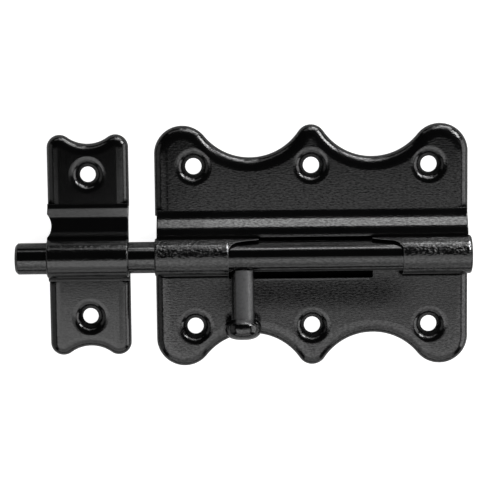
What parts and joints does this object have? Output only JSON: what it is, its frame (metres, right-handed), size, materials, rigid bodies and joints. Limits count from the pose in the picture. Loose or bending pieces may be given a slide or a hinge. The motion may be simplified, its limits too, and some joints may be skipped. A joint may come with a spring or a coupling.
{
  "type": "door latch",
  "caption": "Black pressed-steel barrel bolt: a lobed plate with rolled sleeves guides a round bolt with a side knob, which shoots into a matching keeper loop.",
  "frame": {"origin": "centre of the main plate's screw pattern, on the plane of the door", "axes": "+X along the bolt towards its tail, +Y across the plate towards the ramp side, +Z out of the door"},
  "size_m": [0.1448, 0.0774, 0.0152],
  "materials": {
    "plate_enamel": "glossy black enamel on pressed sheet steel, with a fine orange peel",
    "bolt_enamel": "glossy black enamel on turned steel rod"
  },
  "bodies": {
    "plate": {"main_plate": "plate_enamel", "keeper": "plate_enamel"},
    "bolt": {"bolt": "bolt_enamel", "knob": "bolt_enamel"}
  },
  "joints": [
    {"name": "bolt_slide", "type": "slide", "parent": "plate", "child": "bolt", "axis": [1, 0, 0], "range_m": [0, 0.0373]}
  ]
}
